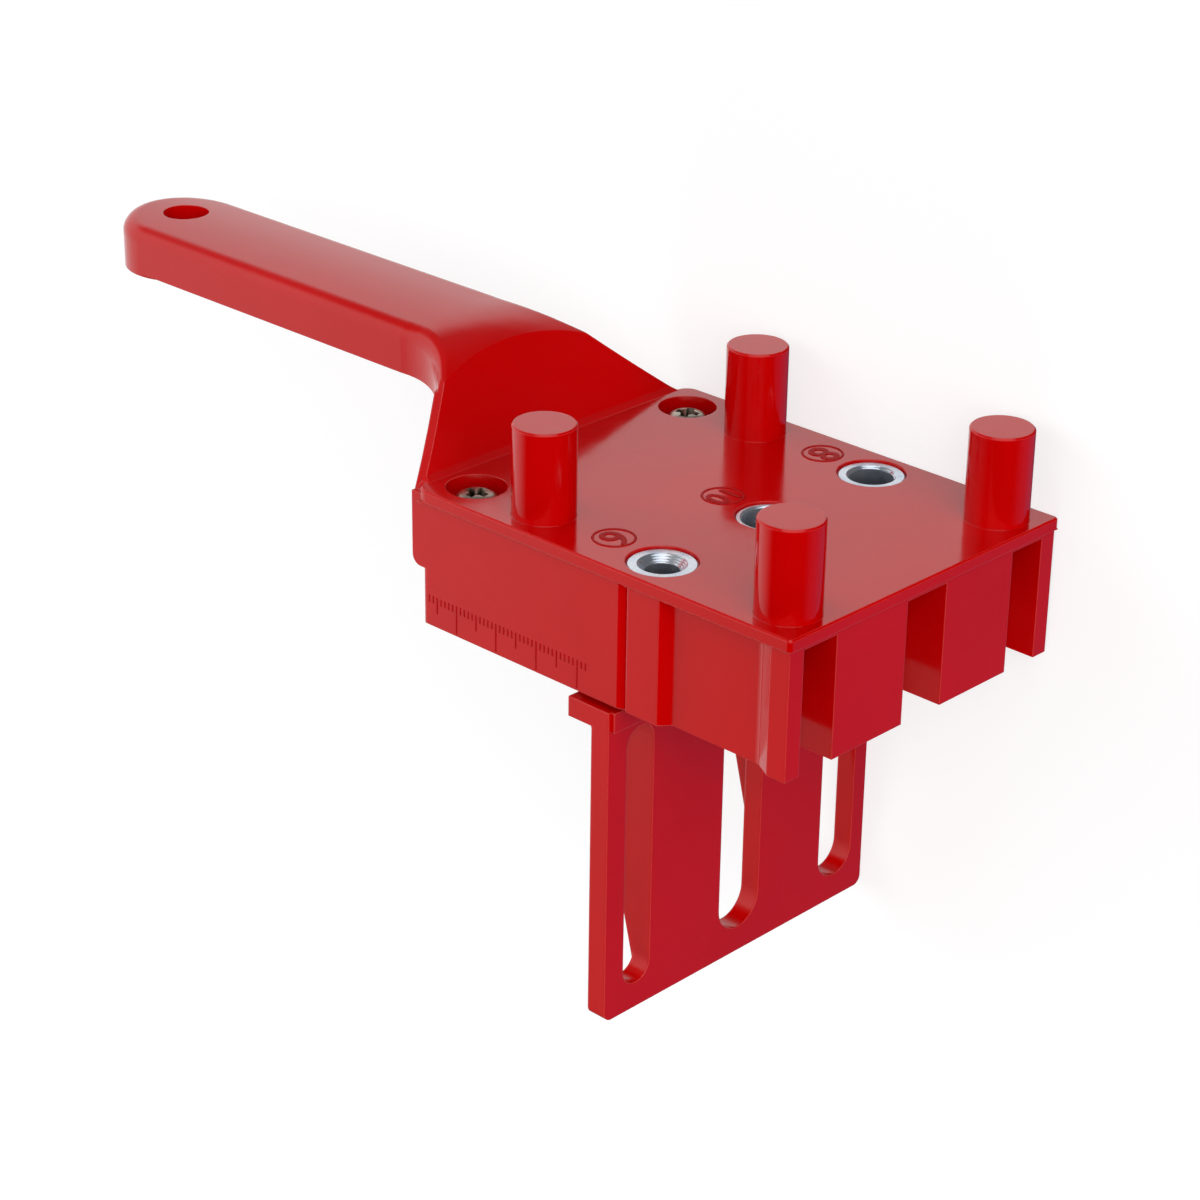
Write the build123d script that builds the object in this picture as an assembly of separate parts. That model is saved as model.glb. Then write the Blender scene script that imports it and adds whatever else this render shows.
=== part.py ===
from build123d import *
import os
from math import sqrt

# Doweling jig: a one-piece red moulding with a handle and four locating pins, three steel
# drill bushes, and a slotted fence that slides under it and is clamped by two screws.
# All lengths are millimetres. The jig is drawn upright first: x = 0 is the plate's front
# edge and the handle points to -x, y = 0 is the middle, z = 0 is the top of the plate.
# At the end everything is laid on its left side, which is how it lies on a bench.

# Top plate
plate_length = 88.2
plate_width = 71.3
lip_height = 2.2
lip_overhang = 0.5
plate_front_radius = 0.8
plate_rear_radius = 3.0
plate_edge = 0.3

# Block under the plate
block_height = 26.0
block_rear = 86.8
roof = 3.0
outer_wall = 2.7
inner_wall = 1.8
block_corner_radius = 1.2

# Locating pins, moulded with the plate
pin_diameter = 11.5
pin_height = 17.0
pin_spacing_x = 56.0
pin_side_margin = 2.3
pin_edge = 0.3
pin_core_diameter = 6.6
pin_core_roof = 3.4

# Drill bushes
bush_x = -35.6
bush_side_wall = 1.35
bush_diameter = 12.6
bush_length = 22.0
bush_sink = 0.4
bush_edge = 0.4
small_drill = 6.0
small_lead_in = 1.3
medium_drill = 8.0
medium_lead_in = 0.5
large_drill = 10.0
large_lead_in = 0.35
drill_clearance = 0.05
bush_wall = 1.8
bush_ledge = 1.0
bush_ledge_width = 0.7
bush_mouth = 0.1

# Sight slots in the front, one in line with each bush
outer_sight_width = 8.3
middle_sight_width = 10.4

# Side recesses and index grooves
recess_rear = 29.1
recess_front = 4.5
recess_depth = 2.05
recess_slope = 1.7
recess_sweep = 3.6
recess_radius = 2.5
groove_x = -37.4
groove_width = 2.1
groove_depth = 0.8

# Clamp screws and nuts
screw_x = -80.5
screw_diameter = 4.0
screw_length = 20.0
head_diameter = 7.6
head_height = 2.6
head_sink = 1.0
head_dome = 0.6
head_edge = 1.2
cross_width = 1.1
cross_length = 4.4
cross_depth = 1.5
screw_hole_clearance = 0.2
counterbore_diameter = 11.1
counterbore_wall = 1.6
nut_across_flats = 7.0
nut_height = 3.2
thread_clearance = 0.05

# Arms that hang the fence in the block
arm_width = 9.5
arm_side_clearance = 0.15
arm_top = -19.0
arm_flange = 2.5
arm_bottom_gap = 0.5
arm_end_wall = 2.6
nut_side_clearance = 0.1
fence_travel = 30.0
rib_positions = (-49.5, -65.0)

# Fence
fence_face = -39.7
fence_thickness = 4.1
fence_gap = 1.4
fence_depth = 62.2
fence_corner_radius = 1.8
leg_height = 3.8
leg_length = 9.7
leg_lip = 0.8
leg_lip_margin = 0.6
fence_slot_top = 32.5
fence_slot_bottom = 84.5
fence_slot_widths = (6.9, 10.8, 9.5)
gusset_thickness = 1.9
gusset_reach = 13.4
gusset_foot = 6.0
gusset_inner_y = 11.45

# Handle
flange_rear = 89.2
flange_height = 15.2
flange_radius = 2.0
web_foot = 89.0
web_lean = 0.8
web_wall = 1.6
web_half_width = 32.8
web_taper = 1.12
web_side_sag = 0.6
web_strip = 0.7
web_strip_depth = 1.5
web_top = 14.0
web_crown_radius = 64.0
grip_half_width = 12.8
grip_top = 17.8
grip_bottom = 7.8
grip_wall = 2.4
hollow_step = 0.05
grip_crown_radius = 94.0
grip_edge_radius = 3.0
grip_straight_end = 112.0
shoulder_lead = 4.0
hang_hole_x = -193.9
hang_hole_diameter = 9.3
end_pad_drop = 0.5
end_pad_rear = 8.0
handle_rib = 1.8
handle_rib_count = 4

# Worked-out sizes
half_plate = plate_width / 2
half_block = half_plate - lip_overhang
block_front = -lip_overhang
inner_half = half_block - outer_wall
bush_pitch = half_block - bush_side_wall - bush_diameter / 2
pin_y = half_plate - pin_side_margin - pin_diameter / 2
bush_top = -bush_sink
bush_bottom = bush_top - bush_length
boss_radius = bush_diameter / 2 + bush_wall
seat_z = -head_sink - head_height
arm_bottom = -block_height + arm_bottom_gap
channel_half = arm_width / 2 + arm_side_clearance
arm_y = inner_half - channel_half
screw_y = arm_y
screw_hole_radius = screw_diameter / 2 + screw_hole_clearance
nut_top = arm_top - arm_flange
fence_rear = fence_face - fence_thickness
leg_top = -block_height - fence_gap
leg_bottom = leg_top - leg_height
fence_bottom = leg_top - fence_depth
grip_end = hang_hole_x - grip_half_width
web_step = web_wall * sqrt(1 + web_lean ** 2)
web_low = min(0, web_strip - (web_foot + web_step - flange_rear) / web_lean)
beyond = plate_width

# Each bush's side of the jig (-1 right, 0 middle, 1 left), drill size and lead-in
drills = {
    "drill_bush_6mm": (-1, small_drill, small_lead_in),
    "drill_bush_10mm": (0, large_drill, large_lead_in),
    "drill_bush_8mm": (1, medium_drill, medium_lead_in),
}


def block(x1, x2, y1, y2, z1, z2):
    """A box between two corners."""
    size = Box(abs(x2 - x1), abs(y2 - y1), abs(z2 - z1))
    return Pos((x1 + x2) / 2, (y1 + y2) / 2, (z1 + z2) / 2) * size


def post(x, y, radius, z1, z2):
    """An upright cylinder."""
    return Pos(x, y, (z1 + z2) / 2) * Cylinder(radius, abs(z2 - z1))


def prism_xy(points, z1, z2):
    """A polygon in plan, raised from z1 to z2."""
    face = make_face(Polyline(*points, close=True))
    return Pos(0, 0, z1) * extrude(face, z2 - z1)


def prism_xz(points, y1, y2):
    """A polygon in side view, drawn across from y1 to y2."""
    plane = Plane(origin=(0, y1, 0), x_dir=(1, 0, 0), z_dir=(0, -1, 0))
    face = plane * make_face(Polyline(*points, close=True))
    return extrude(face, y2 - y1, dir=(0, 1, 0))


def prism_yz(points, x1, x2):
    """A polygon in front view, drawn along from x1 to x2."""
    plane = Plane(origin=(x1, 0, 0), x_dir=(0, 1, 0), z_dir=(1, 0, 0))
    face = plane * make_face(Polyline(*points, close=True))
    return extrude(face, x2 - x1, dir=(1, 0, 0))


def top_plate():
    """The flat top with its thin lip, rounder at the handle end."""
    sketch = Rectangle(plate_length, plate_width)
    rear = sketch.vertices().group_by(Axis.X)[0]
    sketch = fillet(rear, plate_rear_radius)
    front = sketch.vertices().group_by(Axis.X)[-1]
    sketch = fillet(front, plate_front_radius)
    plate = Pos(-plate_length / 2, 0, -roof) * extrude(sketch, roof)
    below_lip = block(1, -plate_length - 1, -plate_width, plate_width, -lip_height, -roof - 1)
    inside = block(block_front, -block_rear, -half_block, half_block, -lip_height, -roof)
    plate = plate - (below_lip - inside)
    return chamfer(plate.faces().sort_by(Axis.Z)[-1].outer_wire().edges(), plate_edge)


def block_shell():
    """The four outer walls, open below."""
    outer = block(block_front, -block_rear, -half_block, half_block, -roof, -block_height)
    rear_edges = outer.edges().filter_by(Axis.Z).group_by(Axis.X)[0]
    outer = fillet(rear_edges, block_corner_radius)
    inner = block(block_front - outer_wall, -block_rear + outer_wall, -inner_half, inner_half,
                  -roof, -block_height - 1)
    return outer - inner


def sight_slot(side):
    """The space of one sight slot: its width follows the drill it serves."""
    half = (outer_sight_width if side else middle_sight_width) / 2
    y = side * bush_pitch
    return block(1, bush_x, y - half, y + half, -roof, -block_height - 1)


def sight_walls(side):
    """The moulded walls on both sides of a sight slot, back to its bush."""
    half = (outer_sight_width if side else middle_sight_width) / 2 + inner_wall
    y = side * bush_pitch
    walls = block(block_front, bush_x, y - half, y + half, -roof, -block_height)
    inside = block(1, -block_rear, -half_block, half_block, 0, -block_height - 1)
    return walls & inside


def bush_boss(side):
    """The round socket that a drill bush is pressed into."""
    boss = post(bush_x, side * bush_pitch, boss_radius, -roof, bush_bottom - bush_ledge)
    return boss & block(0, -block_rear, -half_block, half_block, 0, -block_height)


def bush_hole(side):
    """The bush's seat, with an open ledge below it and a small mouth chamfer."""
    y = side * bush_pitch
    radius = bush_diameter / 2
    hole = post(bush_x, y, radius, 1, bush_bottom)
    hole += post(bush_x, y, radius - bush_ledge_width, bush_bottom + 1, -block_height - 1)
    mouth = Pos(bush_x, y, -bush_mouth / 2) * Cone(radius, radius + bush_mouth, bush_mouth)
    return hole + mouth


def guide_walls(side):
    """The wall between the middle of the block and the channel that an arm slides in."""
    y1 = side * (arm_y - channel_half)
    y2 = side * (arm_y - channel_half - inner_wall)
    return block(bush_x, -block_rear + outer_wall / 2, y1, y2, -roof, -block_height)


def cross_ribs():
    """Ribs across the block. In the channels they stop where an arm slides under them."""
    ribs = Part()
    for x in rib_positions:
        ribs += block(x, x - inner_wall, -inner_half, inner_half, -roof, arm_top)
        middle = arm_y - channel_half
        ribs += block(x, x - inner_wall, -middle, middle, arm_top, arm_bottom)
    ribs += block(bush_x, -block_rear + outer_wall / 2, -inner_wall / 2, inner_wall / 2, -roof, arm_bottom)
    return ribs


def screw_boss(side):
    """The post that a clamp screw passes down through; an arm is pulled up against its foot."""
    radius = counterbore_diameter / 2 + counterbore_wall
    boss = post(screw_x, side * screw_y, radius, -roof, arm_top)
    envelope = block(0, -block_rear, -half_block, half_block, 0, -block_height)
    return boss & envelope


def screw_passage(side):
    """Counterbore and clearance hole for a clamp screw."""
    y = side * screw_y
    passage = post(screw_x, y, counterbore_diameter / 2, 1, seat_z)
    return passage + post(screw_x, y, screw_hole_radius, seat_z + 1, arm_top - 1)


def arm_exit(side):
    """The notch in the rear wall that an arm passes out through."""
    y = side * arm_y
    return block(-block_rear + outer_wall * 1.5, -block_rear - 1, y - channel_half, y + channel_half,
                 arm_top, -block_height - 1)


def side_recess(side):
    """The shallow recess in a side face: a slanted step behind, a soft sweep in front."""
    floor = half_block - recess_depth
    outside = half_block + 1
    points = [
        (-recess_rear, side * outside),
        (-recess_rear, side * half_block),
        (-recess_rear + recess_slope, side * floor),
        (-recess_front - recess_sweep, side * floor),
        (-recess_front, side * half_block),
        (-recess_front, side * outside),
    ]
    recess = prism_xy(points, -block_height - 1, -lip_height)
    sweep = recess.edges().filter_by(Axis.Z)
    inner = [e for e in sweep if abs(e.center().X + recess_front + recess_sweep) < 0.01]
    return fillet(inner, recess_radius)


def index_groove(side):
    """The upright groove in a side face that a layout line is read against: its floor slants in."""
    rear = groove_x - groove_width / 2
    front = groove_x + groove_width / 2
    points = [
        (rear, side * half_block),
        (front, side * (half_block - groove_depth)),
        (front, side * (half_block + 1)),
        (rear, side * (half_block + 1)),
    ]
    return prism_xy(points, -block_height - 1, -lip_height)


def locating_pins():
    """Four pins on a rectangle centred on the middle bush."""
    pins = Part()
    for i in (-1, 1):
        for j in (-1, 1):
            pin = Cylinder(pin_diameter / 2, pin_height + roof / 2)
            pin = chamfer(pin.edges().group_by(Axis.Z)[-1], pin_edge)
            z = (pin_height - roof / 2) / 2
            pins += Pos(bush_x + i * pin_spacing_x / 2, j * pin_y, z) * pin
    return pins


def pin_cores():
    """The pins are cored from below so that their walls stay even."""
    cores = Part()
    for i in (-1, 1):
        for j in (-1, 1):
            cores += post(bush_x + i * pin_spacing_x / 2, j * pin_y, pin_core_diameter / 2,
                          -roof - 0.5, pin_height - pin_core_roof)
    return cores


def front_plane_x(z):
    """Where the front face of the handle's web stands at height z."""
    return -web_foot - web_lean * (z - web_strip)


def web_half(z):
    """Half the width of the handle's root at height z."""
    return web_half_width - web_taper * z


def web_sides(inset):
    """The handle's root from the front: wide at the plate, narrow at the grip, sides hollowed."""
    high = grip_top + 1
    middle = (web_low + high) / 2
    bottom_half = web_half(web_low) - inset
    middle_half = web_half(middle) - web_side_sag - inset
    top_half = web_half(high) - inset
    outline = [
        Line((-bottom_half, web_low), (bottom_half, web_low)),
        ThreePointArc((bottom_half, web_low), (middle_half, middle), (top_half, high)),
        Line((top_half, high), (-top_half, high)),
        ThreePointArc((-top_half, high), (-middle_half, middle), (-bottom_half, web_low)),
    ]
    plane = Plane(origin=(grip_end, 0, 0), x_dir=(0, 1, 0), z_dir=(1, 0, 0))
    return extrude(plane * make_face(outline), roof - web_foot - grip_end, dir=(1, 0, 0))


def web_crown(x1, x2):
    """Everything under the arc that the top of the web follows."""
    barrel = Cylinder(web_crown_radius, abs(x2 - x1), rotation=(0, 90, 0))
    return Pos((x1 + x2) / 2, 0, web_top - web_crown_radius) * barrel


def rear_flange():
    """The root of the handle, down the back of the block, with a soft lower edge."""
    flange = block(-block_rear + outer_wall / 2, -flange_rear, -half_block, half_block, 0, -flange_height)
    low = flange.edges().filter_by(Axis.Y).group_by(Axis.X)[0].group_by(Axis.Z)[0]
    flange = fillet(low, flange_radius)
    corners = [(-web_half(-1), -1), (web_half(-1), -1), (web_half(1), 1), (-web_half(1), 1)]
    tapered = prism_yz(corners, -block_rear + outer_wall, -flange_rear - 1)
    below = block(-block_rear + outer_wall, -flange_rear - 1, -half_block, half_block, -1, -flange_height)
    return flange & (tapered + below)


def handle_web():
    """The leaning plate between the block and the grip, with the strip along its foot."""
    high = web_top + 1
    points = [
        (front_plane_x(web_low), web_low),
        (web_strip_depth - web_foot, 0),
        (front_plane_x(web_strip), web_strip),
        (front_plane_x(high), high),
        (front_plane_x(high) - web_step, high),
        (front_plane_x(web_low) - web_step, web_low),
    ]
    web = prism_xz(points, -half_block, half_block)
    web = web & web_sides(0)
    return web & web_crown(-web_foot + roof, grip_end)


def grip_section(x, half_width, top, bottom, edge):
    """One cross-section of the grip: upright sides, rounded upper corners, crowned top."""
    crown = grip_crown_radius - sqrt(grip_crown_radius ** 2 - half_width ** 2)
    side = Polyline((-half_width, top - crown), (-half_width, bottom), (half_width, bottom),
                    (half_width, top - crown))
    arc = ThreePointArc((half_width, top - crown), (0, top), (-half_width, top - crown))
    face = make_face([side, arc])
    if edge:
        face = fillet(face.vertices().group_by(Axis.Y)[-1], edge)
    plane = Plane(origin=(x, 0, 0), x_dir=(0, 1, 0), z_dir=(1, 0, 0))
    return plane * face


def shoulder(inset, drop):
    """The grip widens, dips and deepens towards the web. An inset gives the hollow inside."""
    stations = (
        (-shoulder_lead, 0, 0, 0),
        (0, 0, 0, 0),
        (4.5, 1.0, 0.35, 0.2),
        (8.5, 3.0, 1.3, 0.9),
        (12.5, 6.4, 3.0, 3.0),
        (18.0, 12.5, 6.0, 7.0),
    )
    edge = 0 if inset else grip_edge_radius
    faces = []
    for ahead, wider, lower, deeper in stations:
        face = grip_section(-grip_straight_end + ahead, grip_half_width + wider - inset,
                            grip_top - lower - inset, grip_bottom - deeper - drop, edge)
        faces.append(face)
    return loft(faces) & behind_web(web_step if inset else 0) & web_sides(inset)


def behind_web(distance):
    """Everything behind the web's front face, or behind a face parallel to it."""
    low = -flange_height
    high = grip_top + beyond
    points = [
        (front_plane_x(low) - distance, low),
        (front_plane_x(high) - distance, high),
        (grip_end - beyond, high),
        (grip_end - beyond, low),
    ]
    return prism_xz(points, -beyond, beyond)


def grip_bar(inset, bottom, rear):
    """The straight part of the grip with its round end."""
    half = grip_half_width - inset
    front = -grip_straight_end - shoulder_lead
    sketch = Pos((front + rear) / 2, 0) * Rectangle(front - rear, 2 * half)
    if rear < hang_hole_x + 0.01:
        sketch += Pos(hang_hole_x, 0) * Circle(half)
    bar = Pos(0, 0, bottom) * extrude(sketch, grip_top - inset - bottom)
    length = front - grip_end + 2
    barrel = Cylinder(grip_crown_radius - inset, length, rotation=(0, 90, 0))
    bar = bar & (Pos(front - length / 2 + 1, 0, grip_top - grip_crown_radius) * barrel)
    if inset:
        return bar
    top = bar.faces().sort_by(Axis.Z)[-1]
    rim = [e for e in top.edges() if abs(e.center().X - front) > 0.01]
    return fillet(rim, grip_edge_radius)


def handle():
    """The whole handle: flange, web and hollow grip with ribs below."""
    outer = grip_bar(0, grip_bottom, hang_hole_x) + shoulder(0, 0)
    pad = post(hang_hole_x, 0, grip_half_width, grip_bottom - end_pad_drop, grip_bottom + 1)
    pad_front = hang_hole_x + end_pad_rear
    outer += pad
    body = outer - grip_bar(grip_wall, grip_bottom - 1, pad_front)
    body -= shoulder(grip_wall + hollow_step, 1)
    pitch = (-grip_straight_end - pad_front) / handle_rib_count
    ribs = Part()
    for i in range(handle_rib_count):
        x = pad_front + (i + 1) * pitch
        ribs += block(x, x - handle_rib, -grip_half_width, grip_half_width, grip_bottom, grip_top)
    ribs += block(-web_foot, pad_front, -handle_rib / 2, handle_rib / 2, grip_bottom, grip_top)
    body += ribs & grip_bar(grip_wall / 2, grip_bottom, pad_front - 1)
    body += ribs & shoulder(grip_wall / 2, 0)
    body -= post(hang_hole_x, 0, hang_hole_diameter / 2, 0, grip_top + 1)
    return body + handle_web() + rear_flange()


def jig_body():
    """The one-piece moulding."""
    body = top_plate() + block_shell()
    for side in (-1, 0, 1):
        body += sight_walls(side)
        body += bush_boss(side)
    for side in (-1, 1):
        body += guide_walls(side)
        body += screw_boss(side)
    body += cross_ribs()
    for side in (-1, 1):
        body -= arm_exit(side)
        body -= side_recess(side)
        body -= index_groove(side)
    for side in (-1, 0, 1):
        body -= sight_slot(side) - bush_boss(side)
        body -= bush_hole(side)
    body += locating_pins()
    body -= pin_cores()
    body += handle()
    for side in (-1, 1):
        body -= screw_passage(side)
    return body


def drill_bush(name):
    """A turned steel sleeve with a lead-in at the top of its bore."""
    side, drill, lead_in = drills[name]
    radius = drill / 2 + drill_clearance
    outside = bush_diameter / 2
    points = [
        (radius + lead_in, bush_top),
        (outside - bush_edge, bush_top),
        (outside, bush_top - bush_edge),
        (outside, bush_bottom),
        (radius, bush_bottom),
        (radius, bush_top - lead_in),
    ]
    profile = Plane.XZ * make_face(Polyline(*points, close=True))
    return Pos(bush_x, side * bush_pitch, 0) * revolve(profile, Axis.Z)


def clamp_screw(side):
    """A pan-head machine screw with a cross recess, seated in its counterbore."""
    head = Cylinder(head_diameter / 2, head_height)
    head = chamfer(head.edges().group_by(Axis.Z)[-1], head_dome, head_edge)
    head = Pos(0, 0, seat_z + head_height / 2) * head
    screw = head + post(0, 0, screw_diameter / 2, seat_z, seat_z - screw_length)
    top = seat_z + head_height
    for length, width in ((cross_length, cross_width), (cross_width, cross_length)):
        screw -= block(-length / 2, length / 2, -width / 2, width / 2, top - cross_depth, top + 1)
    return Pos(screw_x, side * screw_y, 0) * screw


def clamp_nut(side):
    """A hexagon nut held from turning by the groove under an arm."""
    hexagon = RegularPolygon(nut_across_flats / 2, 6, major_radius=False)
    nut = Pos(0, 0, nut_top - nut_height) * extrude(hexagon, nut_height)
    nut -= post(0, 0, screw_diameter / 2 + thread_clearance, nut_top + 1, nut_top - nut_height - 1)
    return Pos(screw_x, side * screw_y, 0) * nut


def fence_plate():
    """The upright plate with rounded lower corners and three round-ended slots."""
    plate = block(fence_face, fence_rear, -half_plate, half_plate, leg_top, fence_bottom)
    corners = plate.edges().filter_by(Axis.X).group_by(Axis.Z)[0]
    plate = fillet(corners, fence_corner_radius)
    for side, width in zip((-1, 0, 1), fence_slot_widths):
        y = side * bush_pitch
        radius = width / 2
        top = -fence_slot_top - radius
        low = -fence_slot_bottom + radius
        plate -= block(fence_face + 1, fence_rear - 1, y - radius, y + radius, low, top)
        for z in (low, top):
            end = Cylinder(radius, fence_thickness + 2, rotation=(0, 90, 0))
            plate -= Pos((fence_face + fence_rear) / 2, y, z) * end
    return plate


def fence_leg():
    """The cross bar along the top of the fence, deeper in the middle, with a front lip."""
    leg = block(fence_face, fence_face - leg_length, -half_plate, half_plate, leg_top, leg_bottom)
    lip_half = half_plate - leg_lip_margin
    leg += block(fence_face + leg_lip, fence_face, -lip_half, lip_half, leg_top, leg_bottom)
    low, *_, high = gusset_places()
    half = gusset_thickness / 2
    leg += block(fence_rear, fence_rear - gusset_reach, low - half, high + half, leg_top, leg_bottom)
    return leg


def gusset_places():
    """The outer gussets stand right beside the outer slots, the others between the slots."""
    right, middle, left = fence_slot_widths
    outer = bush_pitch - gusset_thickness / 2
    return (right / 2 - outer, -gusset_inner_y, gusset_inner_y, outer - left / 2)


def gussets():
    """Four triangular ribs that keep the fence square to its cross bar."""
    ribs = Part()
    points = [
        (fence_rear, leg_bottom),
        (fence_rear - gusset_reach, leg_bottom),
        (fence_rear, fence_bottom + gusset_foot),
    ]
    for y in gusset_places():
        ribs += prism_xz(points, y - gusset_thickness / 2, y + gusset_thickness / 2)
    return ribs


def fence_arm(side):
    """A slotted arm that slides in the block, with a groove below that keeps the nut."""
    y = side * arm_y
    rear = screw_x - screw_hole_radius - arm_end_wall
    half = arm_width / 2
    arm = block(fence_rear, rear, y - half, y + half, arm_top, arm_bottom)
    arm += block(fence_rear, fence_face - leg_length, y - half, y + half, arm_top, leg_top)
    slot_front = screw_x + fence_travel
    across = side * screw_y
    arm -= block(screw_x, slot_front, across - screw_hole_radius, across + screw_hole_radius,
                 arm_top + 1, arm_bottom - 1)
    for x in (screw_x, slot_front):
        arm -= post(x, across, screw_hole_radius, arm_top + 1, arm_bottom - 1)
    groove = nut_across_flats / 2 + nut_side_clearance
    nut_corner = nut_across_flats / sqrt(3) + nut_side_clearance
    arm -= block(rear - 1, slot_front + nut_corner, across - groove, across + groove, nut_top, arm_bottom - 1)
    return arm


def sliding_fence():
    """The fence with its cross bar, gussets and arms, moulded in one piece."""
    return fence_plate() + fence_leg() + gussets() + fence_arm(-1) + fence_arm(1)


def lay_down(piece):
    """Lay the jig on its left side, with the middle of its outline over the origin."""
    top = max(grip_top, pin_height)
    move = Pos(-grip_end / 2, -(fence_bottom + top) / 2, half_plate)
    return move * Rot(-90, 0, 0) * piece


def pieces():
    """Every piece by name, in the upright position."""
    made = {"jig_body": jig_body(), "sliding_fence": sliding_fence()}
    for name in drills:
        made[name] = drill_bush(name)
    for side, word in ((-1, "right"), (1, "left")):
        made[word + "_clamp_screw"] = clamp_screw(side)
        made[word + "_clamp_nut"] = clamp_nut(side)
    return made


os.makedirs("parts", exist_ok=True)
for part_name, shape in pieces().items():
    export_step(lay_down(shape), "parts/" + part_name + ".step")
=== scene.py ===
import math

import bmesh
import bpy
from mathutils import Matrix, Vector


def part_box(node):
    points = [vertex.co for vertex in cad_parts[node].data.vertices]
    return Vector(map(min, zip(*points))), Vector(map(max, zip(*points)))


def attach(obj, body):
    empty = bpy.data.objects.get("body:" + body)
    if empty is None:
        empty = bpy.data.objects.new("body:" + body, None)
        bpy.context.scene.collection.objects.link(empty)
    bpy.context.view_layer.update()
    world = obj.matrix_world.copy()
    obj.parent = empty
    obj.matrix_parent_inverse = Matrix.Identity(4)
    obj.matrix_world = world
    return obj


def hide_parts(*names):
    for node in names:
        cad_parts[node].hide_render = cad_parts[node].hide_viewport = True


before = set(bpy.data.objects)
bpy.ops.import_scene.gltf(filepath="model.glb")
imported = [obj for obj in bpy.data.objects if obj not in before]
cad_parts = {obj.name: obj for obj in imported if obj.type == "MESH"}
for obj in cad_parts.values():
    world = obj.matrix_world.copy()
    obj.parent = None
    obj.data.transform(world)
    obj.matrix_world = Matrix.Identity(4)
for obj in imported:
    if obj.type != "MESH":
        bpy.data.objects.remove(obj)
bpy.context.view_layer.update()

# The camera of the photograph: a long lens that looks down over the front right corner of the
# plate. The jig lies on its left side here, so the camera is rolled with it and the drilled
# plate still faces up in the picture.
camera_place = Vector((0.39295, 0.25356, 0.41844))
camera_right = Vector((0.71866, 0.01295, -0.69524))
camera_down = Vector((0.30280, -0.90588, 0.29613))
camera_back = Vector((0.62597, 0.42333, 0.65495))
film_width = 36.0
focal_length = 94.36
nearest_seen = 0.01

for leftover in ("Cube", "Light", "Camera"):
    if leftover in bpy.data.objects:
        bpy.data.objects.remove(bpy.data.objects[leftover])
eye = bpy.data.objects.new("camera", bpy.data.cameras.new("camera"))
bpy.context.scene.collection.objects.link(eye)
eye.data.sensor_width = film_width
eye.data.lens = focal_length
eye.data.clip_start = nearest_seen
turned = Matrix((camera_right, -camera_down, camera_back)).transposed()
eye.matrix_world = Matrix.Translation(camera_place) @ turned.to_4x4()
bpy.context.scene.camera = eye
bpy.context.scene.view_settings.view_transform = "Standard"

# The surface that the jig lies on: a sheet of matt white acrylic, lit faintly from behind like
# a photographer's table. Only the camera sees its glow, the red gloss doesn't mirror it, and
# from below it is clear.
sheet_reach = 3.0
sheet_glow = 0.67
sheet_roughness = 0.9
sheet_shine = 0.1
sheet_dark = (0.38, 0.38, 0.38)
sheet_pale = (0.41, 0.41, 0.41)
sheet_mottle = 3.0


def new_finish(name):
    """A new material, with its node tree and its shader."""
    finish = bpy.data.materials.new(name)
    finish.use_nodes = True
    return finish, finish.node_tree, finish.node_tree.nodes["Principled BSDF"]


def reckon(tree, kind, operation, one, other):
    """The outcome of a sum with two values, each of them a socket or written out."""
    step = tree.nodes.new("ShaderNode" + kind)
    step.operation = operation
    for socket, value in zip(step.inputs, (one, other)):
        if isinstance(value, bpy.types.NodeSocket):
            tree.links.new(value, socket)
        else:
            socket.default_value = value
    return step.outputs


def two_tones(tree, factor, low, high, start=0.0, end=1.0):
    """A colour that runs from low to high as the factor goes from start to end."""
    ramp = tree.nodes.new("ShaderNodeValToRGB")
    for stop, place, tone in zip(ramp.color_ramp.elements, (start, end), (low, high)):
        stop.position = place
        stop.color = (*tone, 1)
    tree.links.new(factor, ramp.inputs["Fac"])
    return ramp.outputs["Color"]


corners = [(x * sheet_reach, y * sheet_reach, 0) for x, y in ((-1, -1), (1, -1), (1, 1), (-1, 1))]
sheet = bpy.data.meshes.new("white_sheet")
sheet.from_pydata(corners, [], [(0, 1, 2, 3)])
floor = bpy.data.objects.new("white_sheet", sheet)
bpy.context.scene.collection.objects.link(floor)
acrylic, tree, shade = new_finish("matt_white_acrylic")
acrylic.cycles.emission_sampling = "NONE"
shade.inputs["Roughness"].default_value = sheet_roughness
shade.inputs["Specular IOR Level"].default_value = sheet_shine
shade.inputs["Emission Color"].default_value = (1, 1, 1, 1)
seen = tree.nodes.new("ShaderNodeLightPath").outputs["Is Camera Ray"]
glow = reckon(tree, "Math", "MULTIPLY", seen, sheet_glow)["Value"]
mottle = tree.nodes.new("ShaderNodeTexNoise")
mottle.inputs["Scale"].default_value = sheet_mottle
from_below = tree.nodes.new("ShaderNodeNewGeometry").outputs["Backfacing"]
clear = tree.nodes.new("ShaderNodeBsdfTransparent")
one_sided = tree.nodes.new("ShaderNodeMixShader")
link = tree.links.new
link(glow, shade.inputs["Emission Strength"])
link(two_tones(tree, mottle.outputs["Fac"], sheet_dark, sheet_pale), shade.inputs["Base Color"])
link(from_below, one_sided.inputs["Fac"])
link(shade.outputs["BSDF"], one_sided.inputs[1])
link(clear.outputs["BSDF"], one_sided.inputs[2])
link(one_sided.outputs["Shader"], tree.nodes["Material Output"].inputs["Surface"])
sheet.materials.append(acrylic)
floor.visible_glossy = False

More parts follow.
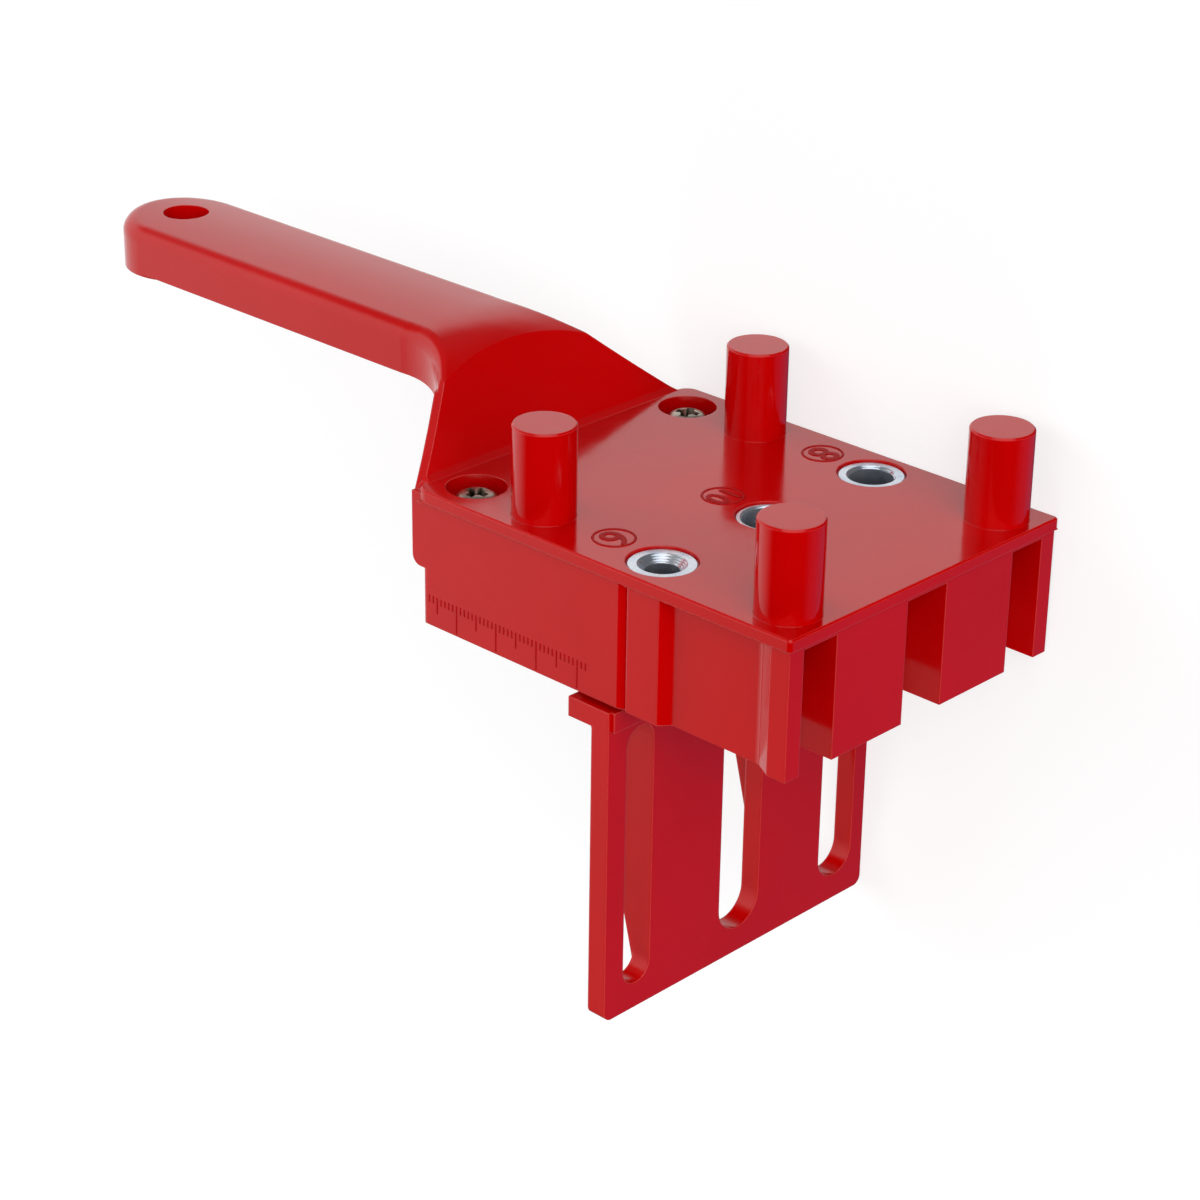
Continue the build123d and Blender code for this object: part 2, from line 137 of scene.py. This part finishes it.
# Soft studio light: a long white screen on the handle's side that the gloss mirrors, a dim
# bluish table edge low at the front, soft panels beside the camera and under the jig, and
# broad lamps all round. Only the top lamp shows in the gloss.
screen_aim = (1.0, -0.35, 0.0)
screen_full = -0.76
screen_gone = -0.14
screen_white = 0.97
top_aim = (0.0, 1.0, 0.0)
top_starts = 0.50
top_full = 0.72
top_dim = 0.15
# Each panel: its direction, how squarely it is faced where its light starts and where it is
# full, and its colour.
panels = (
    ((0.4, -0.6, -0.7), 0.55, 1.0, (0.20, 0.14, 0.28)),
    ((0.55, 0.35, 0.76), 0.80, 0.95, (0.50, 0.50, 0.50)),
    ((0.0, -0.95, 0.3), 0.84, 0.97, (0.55, 0.57, 0.60)))
wall_white = (0.98, 0.98, 0.98)
# Each lamp: its place, how wide it is, and its watts.
lamps = (
    ("front_lamp", (1.2, 0.5, 0.65), 1.5, 16.2),
    ("side_lamp", (0.0, 0.2, 1.4), 1.2, 2.2),
    ("top_lamp", (0.3, 1.3, 0.2), 1.2, 4.8),
    ("rear_lamp", (-1.2, 0.4, 0.5), 1.2, 7.0),
    ("low_lamp", (0.1, -1.3, 0.5), 1.2, 9.0))
lamps_aim = Vector((0.0, 0.0, 0.03))


def fade(tree, value, starts=0.0, ends=1.0, low=0.0, high=1.0, kind="LINEAR"):
    """A value that goes from low to high while the given one goes from starts to ends."""
    reach = tree.nodes.new("ShaderNodeMapRange")
    reach.interpolation_type = kind
    reach.inputs["From Min"].default_value = starts
    reach.inputs["From Max"].default_value = ends
    reach.inputs["To Min"].default_value = low
    reach.inputs["To Max"].default_value = high
    tree.links.new(value, reach.inputs["Value"])
    return reach.outputs["Result"]


def overlaid(tree, amount, under, over):
    """A colour that gives way to another one where the amount is high."""
    mix = tree.nodes.new("ShaderNodeMix")
    mix.data_type = "RGBA"
    mix.inputs["B"].default_value = (*over, 1)
    tree.links.new(amount, mix.inputs["Factor"])
    tree.links.new(under, mix.inputs["A"])
    return mix.outputs["Result"]


studio = bpy.data.worlds.new("studio")
studio.use_nodes = True
tree = studio.node_tree
around = tree.nodes.new("ShaderNodeTexCoord").outputs["Generated"]
sideways = reckon(tree, "VectorMath", "DOT_PRODUCT", around, screen_aim)["Value"]
upwards = reckon(tree, "VectorMath", "DOT_PRODUCT", around, top_aim)["Value"]
screen = fade(tree, sideways, screen_full, screen_gone, screen_white, 0.0, "SMOOTHSTEP")
top_edge = fade(tree, upwards, top_starts, top_full, 1.0, top_dim, "SMOOTHSTEP")
so_far = reckon(tree, "Math", "MULTIPLY", screen, top_edge)["Value"]
for aim, starts, full, colour in panels:
    towards = reckon(tree, "VectorMath", "DOT_PRODUCT", around, aim)["Value"]
    panel = fade(tree, towards, starts, full, kind="SMOOTHSTEP")
    glow = reckon(tree, "VectorMath", "MULTIPLY", colour, panel)["Vector"]
    so_far = reckon(tree, "VectorMath", "ADD", so_far, glow)["Vector"]
seen = tree.nodes.new("ShaderNodeLightPath").outputs["Is Camera Ray"]
tree.links.new(overlaid(tree, seen, so_far, wall_white), tree.nodes["Background"].inputs["Color"])
bpy.context.scene.world = studio
for name, place, size, watts in lamps:
    lamp = bpy.data.objects.new(name, bpy.data.lights.new(name, "AREA"))
    bpy.context.scene.collection.objects.link(lamp)
    lamp.data.shape = "DISK"
    lamp.data.size = size
    lamp.data.energy = watts
    lamp.location = place
    lamp.rotation_euler = (lamps_aim - lamp.location).to_track_quat("-Z", "Y").to_euler()
    lamp.visible_glossy = name == "top_lamp"

# The body: a single injection moulding in glossy red plastic, with the pins, block, web and
# handle in one. The skin is smooth with faint flow bands and dull scuffs, and every edge comes
# out of the tool a little soft. A pale painted highlight runs along the outer edges.
body_edge = 0.0003
body_seed = 2.0
scuffs_apart = 3.0
plastic_ior = 1.5
moulded_dark = (0.52, 0.0003, 0.0006)
moulded_bright = (0.57, 0.0006, 0.0012)
edge_highlight_red = (0.80, 0.10, 0.09)
edge_highlight_most = 0.8
inner_corner = 0.0006


def clouds(tree, scale, detail=2.0, roughness=0.5, distortion=0.0, seed=None):
    """Cloudy noise through the piece, finer as the scale goes up."""
    noise = tree.nodes.new("ShaderNodeTexNoise")
    if seed is not None:
        noise.noise_dimensions = "4D"
        noise.inputs["W"].default_value = seed
    noise.inputs["Scale"].default_value = scale
    noise.inputs["Detail"].default_value = detail
    noise.inputs["Roughness"].default_value = roughness
    noise.inputs["Distortion"].default_value = distortion
    place = tree.nodes.new("ShaderNodeTexCoord").outputs["Object"]
    tree.links.new(place, noise.inputs["Vector"])
    return noise.outputs["Fac"]


def dented(tree, height, strength, distance, under=None):
    """The surface's slope, with a height pressed into the slope under it."""
    bump = tree.nodes.new("ShaderNodeBump")
    bump.inputs["Strength"].default_value = strength
    bump.inputs["Distance"].default_value = distance
    tree.links.new(height, bump.inputs["Height"])
    if under is not None:
        tree.links.new(under, bump.inputs["Normal"])
    return bump.outputs["Normal"]


def soft_edges(tree, radius, samples):
    """The surface's slope, rounded over each edge."""
    bevel = tree.nodes.new("ShaderNodeBevel")
    bevel.samples = samples
    bevel.inputs["Radius"].default_value = radius
    return bevel.outputs["Normal"]


def open_air(tree, reach, samples):
    """How open the piece is within reach: 1 on a face or an outer edge, less in a hole."""
    occlusion = tree.nodes.new("ShaderNodeAmbientOcclusion")
    occlusion.samples = samples
    occlusion.only_local = True
    occlusion.inputs["Distance"].default_value = reach
    return occlusion.outputs["AO"]


def red_moulding(name, seed, edge_radius):
    """The red plastic of one moulding. The seed moves its flow bands and scuffs."""
    plastic, tree, shade = new_finish(name)
    flow = clouds(tree, scale=28.0, detail=5.0, distortion=0.6, seed=seed)
    scuff = clouds(tree, scale=240.0, detail=8.0, roughness=0.7, seed=seed + scuffs_apart)
    waves = clouds(tree, scale=90.0)
    skin = clouds(tree, scale=1600.0, detail=3.0)
    red = two_tones(tree, flow, moulded_dark, moulded_bright, start=0.35, end=0.68)
    both = reckon(tree, "Math", "MULTIPLY", flow, scuff)["Value"]
    gloss = fade(tree, both, starts=0.12, ends=0.42, low=0.07, high=0.20)
    soft = soft_edges(tree, edge_radius, samples=6)
    flat = tree.nodes.new("ShaderNodeNewGeometry").outputs["Normal"]
    turned_away = reckon(tree, "VectorMath", "DOT_PRODUCT", soft, flat)["Value"]
    # Painted highlight: the outer edges turn a paler red, standing in for the light they catch.
    edge = fade(tree, turned_away, starts=0.97, ends=0.80, high=edge_highlight_most)
    outer = fade(tree, open_air(tree, inner_corner, samples=4), starts=0.75, ends=0.95)
    painted_edge_highlight = reckon(tree, "Math", "MULTIPLY", edge, outer)["Value"]
    swell = dented(tree, waves, strength=0.10, distance=0.0003, under=soft)
    grain = dented(tree, skin, strength=0.04, distance=0.0001, under=swell)
    shade.inputs["IOR"].default_value = plastic_ior
    tree.links.new(overlaid(tree, painted_edge_highlight, red, edge_highlight_red), shade.inputs["Base Color"])
    tree.links.new(gloss, shade.inputs["Roughness"])
    tree.links.new(grain, shade.inputs["Normal"])
    return plastic


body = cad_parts["jig_body"]
body_low, body_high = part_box("jig_body")
body_red = red_moulding("red_plastic_body", body_seed, body_edge)
body.data.materials.clear()
body.data.materials.append(body_red)

# Sizes beside the bushes: the drill's diameter in millimetres in a ring, raised a tenth of a
# millimetre by letters cut into the mould and left dull. They read from the handle's side.
# Their darker red is painted shade.
bush_sink = 0.0004
plate_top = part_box("drill_bush_6mm")[1].y + bush_sink
# Each mark: its number, and how far its middle lies behind the bush's front and beside its middle.
marks = (("6", 0.0187, 0.0012), ("10", 0.0179, 0.0005), ("8", 0.0184, 0.0007))
mark_ring = 0.0037
mark_line = 0.00026
mark_crest_share = 0.6
mark_height = 0.00014
mark_sink = 0.00002
ring_steps = 40
one_digit_size = 0.0088
two_digits_size = 0.0066
stroke_growth = 0.0001
stroke_steps = 3
same_point = 0.000001
dull_shine = 0.12
mark_shade_dark = (0.34, 0.0003, 0.0006)
mark_shade_light = (0.46, 0.0005, 0.001)


def joined_rings(build, rings):
    """Faces between each ring of points and the next."""
    for here, there in zip(rings, rings[1:]):
        for k in range(len(here)):
            after = (k + 1) % len(here)
            build.faces.new((here[k], here[after], there[after], there[k]))


def mesh_object(name, build):
    """The object that a build makes, with its faces turned outwards."""
    bmesh.ops.recalc_face_normals(build, faces=build.faces)
    mesh = bpy.data.meshes.new(name)
    build.to_mesh(mesh)
    build.free()
    made = bpy.data.objects.new(name, mesh)
    bpy.context.scene.collection.objects.link(made)
    return made


def mesh_piece(name, build, finish, rides):
    """A piece of the jig, with its finish and the body that it moves with."""
    piece = mesh_object(name, build)
    piece.data.materials.append(finish)
    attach(piece, rides)
    return piece


def worked_shape(pattern):
    """The shape that a pattern object shows, as a build. The pattern itself is thrown away."""
    bpy.context.view_layer.update()
    shown = pattern.evaluated_get(bpy.context.evaluated_depsgraph_get())
    build = bmesh.new()
    build.from_mesh(bpy.data.meshes.new_from_object(shown))
    bpy.data.objects.remove(pattern)
    return build


def raised_ring(centre):
    """A raised line round a mark, with sloping sides."""
    build = bmesh.new()
    rings = []
    for step in range(ring_steps):
        turn = 2 * math.pi * step / ring_steps
        out = Vector((math.cos(turn), 0.0, math.sin(turn)))
        rings.append([])
        for side, rise in ((1, -mark_sink), (mark_crest_share, mark_height),
                           (-mark_crest_share, mark_height), (-1, -mark_sink)):
            point = centre + out * (mark_ring + side * mark_line) + Vector((0, rise, 0))
            rings[-1].append(build.verts.new(point))
    joined_rings(build, rings + rings[:1])
    return build


def raised_digits(words, centre):
    """The digits of a mark, stroked a little wider than the plain font."""
    letters = bpy.data.curves.new("size_" + words, "FONT")
    letters.body = words
    letters.size = one_digit_size if len(words) == 1 else two_digits_size
    letters.offset = stroke_growth
    letters.align_x = "CENTER"
    letters.align_y = "CENTER"
    letters.extrude = mark_height / 2
    letters.resolution_u = stroke_steps
    pattern = bpy.data.objects.new("size_" + words, letters)
    bpy.context.scene.collection.objects.link(pattern)
    build = worked_shape(pattern)
    bmesh.ops.remove_doubles(build, verts=build.verts, dist=same_point)
    reads_from_handle = Matrix(((0, 1, 0), (0, 0, 1), (1, 0, 0))).to_4x4()
    lift = Vector((0, mark_height / 2 - mark_sink, 0))
    build.transform(Matrix.Translation(centre + lift) @ reads_from_handle)
    return build


# The marks' darker, finely mottled red is painted shade.
shaded_marks_red, tree, shade = new_finish("shade_painted_red_marks")
sparks = clouds(tree, scale=1500.0)
shade.inputs["Specular IOR Level"].default_value = dull_shine
tree.links.new(two_tones(tree, sparks, mark_shade_dark, mark_shade_light), shade.inputs["Base Color"])
tree.links.new(fade(tree, sparks, low=0.35, high=0.6), shade.inputs["Roughness"])
for words, behind, beside in marks:
    low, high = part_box("drill_bush_" + words + "mm")
    centre = Vector((high.x - behind, plate_top, (low.z + high.z) / 2 - beside))
    mesh_piece("size_ring_" + words + "mm", raised_ring(centre), shaded_marks_red, "body")
    digits = raised_digits(words, centre)
    mesh_piece("size_number_" + words + "mm", digits, shaded_marks_red, "body")

# Millimetre scales low on both sides of the block: short raised ticks, longer at every fifth
# and tenth, part of the same moulding. They show how far the fence has been set.
lip_overhang = 0.0005
scale_setback = 0.0879
scale_rise = 0.0059
scale_zero = body_high.x - scale_setback
tick_top = body_low.y + scale_rise
first_tick = 3
tick_count = 40
tick_pitch = 0.001
tick_short = 0.0014
tick_fifth = 0.0032
tick_tenth = 0.0055
tick_height = 0.0001
tick_half_foot = 0.00015
tick_half_crest = 0.00009
for name, face, out in (
        ("scale_right", body_high.z - lip_overhang, 1), ("scale_left", body_low.z + lip_overhang, -1)):
    ticks = bmesh.new()
    for count in range(first_tick, first_tick + tick_count):
        x = scale_zero + tick_pitch * count
        length = tick_tenth if count % 10 == 0 else tick_fifth if count % 5 == 0 else tick_short
        slope = tick_half_foot - tick_half_crest
        foot = []
        crest = []
        for sx, y, inward in ((-1, tick_top, -slope), (1, tick_top, -slope),
                              (1, tick_top - length, slope), (-1, tick_top - length, slope)):
            foot.append(ticks.verts.new((x + sx * tick_half_foot, y, face - out * mark_sink)))
            crest.append(ticks.verts.new((x + sx * tick_half_crest, y + inward, face + out * tick_height)))
        ticks.faces.new(crest)
        ticks.faces.new(foot)
        joined_rings(ticks, [foot, crest])
    # The ticks take the marks' darker red too, which is painted shade.
    mesh_piece(name, ticks, shaded_marks_red, "body")

# Flash: where the two halves of the mould meet under the lip of the plate, a thin ragged edge
# of plastic is left, with a small nub at one corner of each side.
lip_height = 0.0022
flash_top = plate_top - lip_height
flash_steps = 150
flash_wide = 0.0002
flash_slope = 0.00003
flash_least = 0.00004
flash_ragged = 0.00016
nub_steps = 4
nub_drop = 0.0004
right_rear = 0.08735
right_front = 0.00085
left_rear = 0.08685
left_front = 0.00015
long_wave = 0.61
long_wave_start = 1.0
short_wave = 1.7
fine_wave = 4.3
fine_share = 0.5


def ragged(step):
    """How far the flash hangs down, as an uneven wave along its edge."""
    torn = abs(math.sin(step * short_wave) * math.sin(step * long_wave + long_wave_start))
    return flash_least + flash_ragged * (torn + fine_share * abs(math.sin(step * fine_wave)))


for name, face, inward, rear, front, nub in (
        ("flash_right", body_high.z - mark_sink, -1, right_rear, right_front, 0),
        ("flash_left", body_low.z + mark_sink, 1, left_rear, left_front, flash_steps - nub_steps)):
    flash = bmesh.new()
    loops = []
    for step in range(flash_steps + 1):
        x = body_high.x - rear + (rear - front) * step / flash_steps
        drop = ragged(step) + (nub_drop if nub <= step < nub + nub_steps else 0.0)
        loops.append([flash.verts.new((x, y, face + inward * depth)) for y, depth in (
            (flash_top + flash_slope, 0.0), (flash_top - drop, flash_slope),
            (flash_top - drop, flash_wide - flash_slope), (flash_top + flash_slope, flash_wide))])
    joined_rings(flash, loops)
    flash.faces.new(loops[0])
    flash.faces.new(loops[-1])
    mesh_piece(name, flash, body_red, "body")

# The drill bushes: turned from free-cutting steel on an automatic lathe, bright zinc plated,
# and pressed into the block. The cutter leaves fine rings on the end faces, and painted shade
# darkens the bores.
bush_edge = 0.00015
bush_depth = 0.02
bush_metal = 0.8
zinc_shade = (0.60, 0.69, 0.82)
zinc_bright = (0.90, 0.94, 0.99)
bore_painted_shade = (0.06, 0.07, 0.10)


def bright_zinc(bush):
    """Turned and zinc plated steel, with its rings centred on the bush and painted shade in its bore."""
    zinc, tree, shade = new_finish("bright_zinc_" + bush)
    low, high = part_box(bush)
    centred = tree.nodes.new("ShaderNodeMapping")
    centred.inputs["Location"].default_value = (-(low.x + high.x) / 2, 0.0, -(low.z + high.z) / 2)
    place = tree.nodes.new("ShaderNodeTexCoord").outputs["Object"]
    rings = tree.nodes.new("ShaderNodeTexWave")
    rings.wave_type = "RINGS"
    rings.rings_direction = "Y"
    rings.inputs["Scale"].default_value = 900.0
    rings.inputs["Distortion"].default_value = 1.5
    rings.inputs["Detail"].default_value = 3.0
    tree.links.new(place, centred.inputs["Vector"])
    tree.links.new(centred.outputs["Vector"], rings.inputs["Vector"])
    cloud = clouds(tree, scale=350.0, detail=4.0)
    tone = two_tones(tree, cloud, zinc_shade, zinc_bright, start=0.3, end=0.7)
    # Painted shade: the colour goes towards near-black deeper in the bore.
    bore = open_air(tree, bush_depth, samples=6)
    bore_shade = fade(tree, bore, starts=0.10, ends=0.60, low=0.75, high=0.0)
    dull = fade(tree, cloud, low=0.16, high=0.34)
    soft = soft_edges(tree, bush_edge, samples=4)
    cut = dented(tree, rings.outputs["Fac"], strength=0.35, distance=0.00005, under=soft)
    shade.inputs["Metallic"].default_value = bush_metal
    tree.links.new(overlaid(tree, bore_shade, tone, bore_painted_shade), shade.inputs["Base Color"])
    tree.links.new(dull, shade.inputs["Roughness"])
    tree.links.new(cut, shade.inputs["Normal"])
    return zinc


for bush in ("drill_bush_6mm", "drill_bush_10mm", "drill_bush_8mm"):
    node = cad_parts[bush]
    node.data.materials.clear()
    node.data.materials.append(bright_zinc(bush))

# The sliding fence: a second moulding in the same red plastic, with its slots, gussets and
# arms in one. It slides under the block and takes the workpiece's face.
fence_edge = 0.0004
fence_seed = 7.0
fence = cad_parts["sliding_fence"]
fence.data.materials.clear()
fence.data.materials.append(red_moulding("red_plastic_fence", fence_seed, fence_edge))

# The clamp screws: M4 pan heads with a cross recess, cold headed and thread rolled from wire,
# then yellow zinc plated. They stand in the counterbores and pull the fence's arms up, and
# painted shade darkens their recesses.
thread_pitch = 0.0007
thread_root = 0.00160
thread_crest = 0.00197
root_flat = 0.12
flank = 0.72
tip_radius = 0.0013
tip_slope = 0.9
shank_length = 0.0200
shank_end_gap = 0.0002
plain_neck = 0.0010
head_radius = 0.0038
head_side = 0.0013
head_break = 0.00015
head_draft = 0.00005
dome_rings = 7
dome_fullness = 0.55
dome_flat = 0.0006
rows_per_turn = 6
screw_segments = 24
head_smooth_angle = 38
recess_turns = {"left": 20, "right": 6}
punch_rise = 0.0003
recess_depth = 0.0019
arm_mouth = (0.00240, 0.00082)
arm_floor = (0.00155, 0.00055)
cone_point = 0.0009
cone_mouth = 0.0016
cone_length = 0.0024
cone_segments = 12
recess_shade_reach = 0.0015
yellow_shade = (0.42, 0.38, 0.33)
yellow_bright = (0.76, 0.66, 0.54)
recess_painted_shade = (0.03, 0.032, 0.025)


def yellow_zinc(name):
    """Yellow zinc plating, pitted a little, with painted shade in the recesses."""
    zinc, tree, shade = new_finish(name)
    cloud = clouds(tree, scale=420.0, detail=5.0)
    tone = two_tones(tree, cloud, yellow_shade, yellow_bright, start=0.32, end=0.68)
    # Painted shade: the colour goes nearly black in the recesses.
    recess = open_air(tree, recess_shade_reach, samples=6)
    recess_shade = fade(tree, recess, starts=0.45, ends=0.90, low=0.95, high=0.0)
    dull = fade(tree, cloud, low=0.22, high=0.46)
    pitted = dented(tree, cloud, strength=0.25, distance=0.00005)
    shade.inputs["Metallic"].default_value = 1.0
    tree.links.new(overlaid(tree, recess_shade, tone, recess_painted_shade), shade.inputs["Base Color"])
    tree.links.new(dull, shade.inputs["Roughness"])
    tree.links.new(pitted, shade.inputs["Normal"])
    return zinc


def turned_ring(build, outline):
    """A ring of points about the screw's axis, each at its own radius and height."""
    ring = []
    for k, (radius, y) in enumerate(outline):
        turn = 2 * math.pi * k / len(outline)
        ring.append(build.verts.new((radius * math.sin(turn), y, radius * math.cos(turn))))
    return ring


def screw_outline(seat, top):
    """The screw from its tip up: one ring after the other, as a radius and a height all round."""
    tip = seat - shank_length
    rows = round(shank_length / thread_pitch * rows_per_turn)
    outline = []
    for row in range(rows + 1):
        y = tip + (shank_length - shank_end_gap) * row / rows
        ring = []
        for step in range(screw_segments):
            phase = (y / thread_pitch - step / screw_segments) % 1.0
            ridge = min(1.0, max(0.0, (abs(2 * phase - 1) - root_flat) / flank))
            radius = thread_root + (thread_crest - thread_root) * ridge
            if y > seat - plain_neck:
                radius = thread_root
            ring.append((min(radius, tip_radius + (y - tip) * tip_slope), y))
        outline.append(ring)
    head = [(head_radius - head_break, seat), (head_radius, seat + head_break),
            (head_radius - head_draft, seat + head_side)]
    dome = top - seat - head_side
    for step in range(1, dome_rings):
        lean = math.radians(90) * step / dome_rings
        radius = (head_radius - head_draft) * math.cos(lean) ** dome_fullness
        head.append((radius, seat + head_side + dome * math.sin(lean)))
    head.append((dome_flat, top))
    return outline + [[point] * screw_segments for point in head]


def recess_arms(top, turn):
    """A punch for one pair of the cross's arms, tapered to its ends and to its sides."""
    build = bmesh.new()
    rings = []
    for y, (reach, half) in ((top + punch_rise, arm_mouth), (top - recess_depth, arm_floor)):
        rings.append([])
        for sx, sz in ((-1, -1), (1, -1), (1, 1), (-1, 1)):
            corner = Matrix.Rotation(turn, 3, "Y") @ Vector((sx * reach, y, sz * half))
            rings[-1].append(build.verts.new(corner))
    build.faces.new(rings[0])
    build.faces.new(rings[1])
    joined_rings(build, rings)
    return mesh_object("cross_punch", build)


def recess_cone(top):
    """A punch for the cone in the middle of the cross."""
    build = bmesh.new()
    bmesh.ops.create_cone(build, cap_ends=True, segments=cone_segments, radius1=cone_point,
                          radius2=cone_mouth, depth=cone_length)
    middle = top + punch_rise - cone_length / 2
    pointing_down = Matrix.Rotation(math.radians(-90), 4, "X")
    build.transform(Matrix.Translation((0, middle, 0)) @ pointing_down)
    return mesh_object("cross_punch", build)


screw_zinc = yellow_zinc("yellow_zinc_screws")
for side, turn in recess_turns.items():
    low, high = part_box(side + "_clamp_screw")
    top = high.y
    screw = bmesh.new()
    rings = [turned_ring(screw, ring) for ring in screw_outline(low.y + shank_length, top)]
    joined_rings(screw, rings)
    screw.faces.new(rings[0])
    screw.faces.new(rings[-1])
    blank = mesh_object("screw_blank", screw)
    punches = [recess_arms(top, math.radians(turn)), recess_arms(top, math.radians(turn + 90)),
               recess_cone(top)]
    for punch in punches:
        press = blank.modifiers.new("cross_recess", "BOOLEAN")
        press.operation = "DIFFERENCE"
        press.solver = "EXACT"
        press.object = punch
    struck = worked_shape(blank)
    for punch in punches:
        bpy.data.objects.remove(punch)
    for face in struck.faces:
        face.smooth = True
    struck.transform(Matrix.Translation(((low.x + high.x) / 2, 0.0, (low.z + high.z) / 2)))
    piece = mesh_piece(side + "_pan_screw", struck, screw_zinc, side + "_screw")
    piece.data.set_sharp_from_angle(angle=math.radians(head_smooth_angle))
    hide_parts(side + "_clamp_screw")

# The nuts: plain hexagon nuts in the fence's arms, punched from steel strip with their corners
# turned off and yellow zinc plated. A groove under each arm keeps them from turning.
nut_flats = 0.0070
nut_bore = 0.00205
nut_lead_in = 0.0003
nut_face_share = 0.96
nut_face = nut_flats / 2 * nut_face_share
corner_slope = math.tan(math.radians(30))
nut_segments = 48


def nut_outline(half):
    """The nut's section from the bore out and back: one ring after the other."""
    edge = []
    for k in range(nut_segments):
        from_flat = (2 * math.pi * k / nut_segments + math.pi / 6) % (math.pi / 3) - math.pi / 6
        radius = nut_flats / 2 / math.cos(from_flat)
        edge.append((radius, half - max(0.0, radius - nut_face) * corner_slope))
    upper = [[point] * nut_segments for point in (
        (nut_bore, half - nut_lead_in), (nut_bore + nut_lead_in, half), (nut_face, half))]
    upper.append(edge)
    lower = [[(radius, -y) for radius, y in ring] for ring in reversed(upper)]
    return upper + lower


nut_zinc = yellow_zinc("yellow_zinc_nuts")
for side in ("left", "right"):
    low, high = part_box(side + "_clamp_nut")
    nut = bmesh.new()
    rings = [turned_ring(nut, ring) for ring in nut_outline((high.y - low.y) / 2)]
    joined_rings(nut, rings + rings[:1])
    nut.transform(Matrix.Translation((low + high) / 2))
    piece = mesh_piece(side + "_hexagon_nut", nut, nut_zinc, side + "_nut")
    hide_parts(side + "_clamp_nut")
